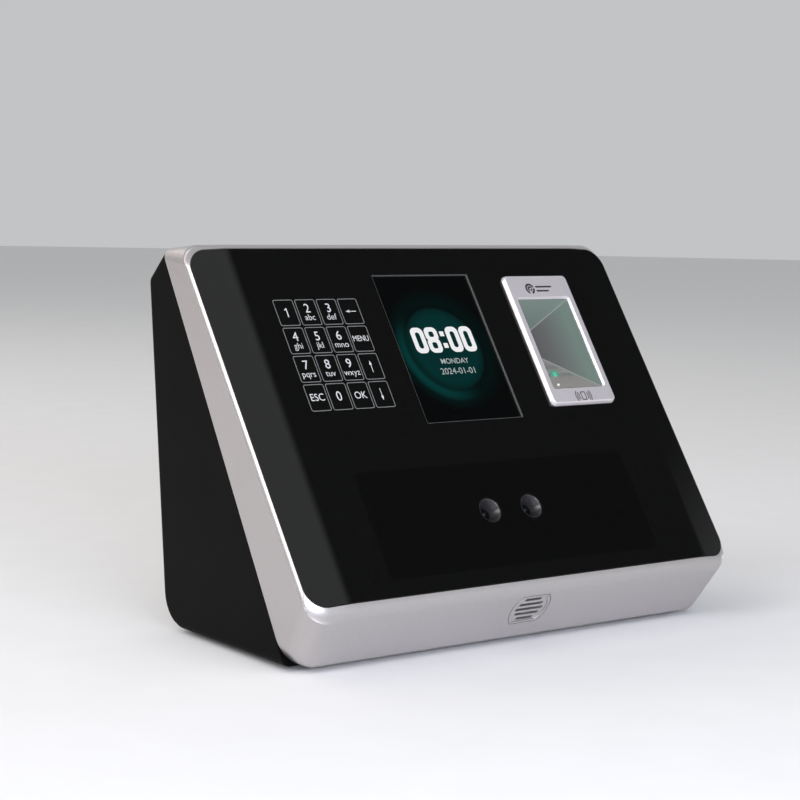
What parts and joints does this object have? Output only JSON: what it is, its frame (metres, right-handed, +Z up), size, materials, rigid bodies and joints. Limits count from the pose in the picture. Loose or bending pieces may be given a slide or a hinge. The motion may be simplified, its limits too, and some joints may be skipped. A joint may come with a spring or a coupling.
{
  "type": "fingerprint scanner terminal",
  "caption": "Wedge-shaped access terminal with a touch keypad, a display, a fingerprint reader, face cameras, a speaker grille and a sliding wall plate.",
  "frame": {"origin": "middle of the footprint, on the surface that the rubber feet stand on", "axes": "+X to the right as seen by someone using the terminal, +Y from the sloping front to the back, +Z up"},
  "size_m": [0.2378, 0.1204, 0.165],
  "materials": {
    "silver": "satin silver paint on a moulded frame",
    "housing_black": "fine matte texture",
    "gloss_black": "polished, nearly a mirror",
    "bezel_silver": "satin silver",
    "screen_glass": "clear, over a dark display",
    "prism_glass": "polished optical glass",
    "lens_glass": "coated lens",
    "cone_grey": "satin grey",
    "black_plastic": "moulded",
    "circuit_board": "green solder mask",
    "rubber": "soft matte",
    "steel": "nickel plated",
    "plate_steel": "zinc plated sheet",
    "heat_sink": "extruded",
    "speaker_metal": "dull grey",
    "green_plastic": "moulded",
    "white_plastic": "moulded"
  },
  "bodies": {
    "terminal": {"front_frame": "silver", "speaker_grille": "silver", "rear_housing": "housing_black", "front_panel": "gloss_black", "fingerprint_bezel": "bezel_silver", "touch_glass": "screen_glass", "fingerprint_prism": "prism_glass", "camera_lens_left": "lens_glass", "camera_lens_right": "lens_glass", "camera_cone_left": "cone_grey", "camera_cone_right": "cone_grey", "display_module": "black_plastic", "fingerprint_housing": "black_plastic", "fingerprint_imager": "black_plastic", "camera_barrel_left": "black_plastic", "camera_barrel_right": "black_plastic", "door_relay": "black_plastic", "battery_holder": "black_plastic", "power_jack": "black_plastic", "reset_switch": "black_plastic", "tamper_switch": "black_plastic", "keypad_board": "circuit_board", "fingerprint_led_board": "circuit_board", "card_antenna": "circuit_board", "camera_board": "circuit_board", "infrared_lamp_board_left": "circuit_board", "infrared_lamp_board_right": "circuit_board", "main_board": "circuit_board", "usb_board": "circuit_board", "display_gasket": "rubber", "rubber_foot_front_left": "rubber", "rubber_foot_front_right": "rubber", "rubber_foot_rear_left": "rubber", "rubber_foot_rear_right": "rubber", "display_tray": "steel", "case_screw_left": "steel", "case_screw_right": "steel", "board_screw_lower_left": "steel", "board_screw_lower_right": "steel", "board_screw_upper_left": "steel", "board_screw_upper_right": "steel", "backup_battery": "steel", "ethernet_jack": "steel", "usb_port": "steel", "tamper_spring": "steel", "lock_screw": "steel", "heat_sink": "heat_sink", "speaker": "speaker_metal", "terminal_block_outer": "green_plastic", "terminal_block_inner": "green_plastic"},
    "wall_plate": {"wall_plate": "plate_steel"},
    "tamper_plunger": {"tamper_plunger": "white_plastic"},
    "reset_button": {"reset_button": "white_plastic"},
    "usb_cover": {"usb_cover": "rubber"}
  },
  "joints": [
    {"name": "wall_plate_slide", "type": "slide", "parent": "terminal", "child": "wall_plate", "axis": [0, 0, -1], "range_m": [0, 0.006]},
    {"name": "tamper_plunger_press", "type": "slide", "parent": "terminal", "child": "tamper_plunger", "axis": [0, -1, 0], "range_m": [0, 0.0013], "stiffness_N_per_m": 300, "springref_m": -0.002, "deforming": ["tamper_spring"]},
    {"name": "reset_button_press", "type": "slide", "parent": "terminal", "child": "reset_button", "axis": [0, -1, 0], "range_m": [0, 0.0005], "stiffness_N_per_m": 400, "springref_m": -0.001},
    {"name": "usb_cover_hinge", "type": "hinge", "parent": "terminal", "child": "usb_cover", "pos_m": [0.11115, 0.02575, 0.0502], "axis": [0, 0, 1], "range_deg": [0, 95]}
  ]
}
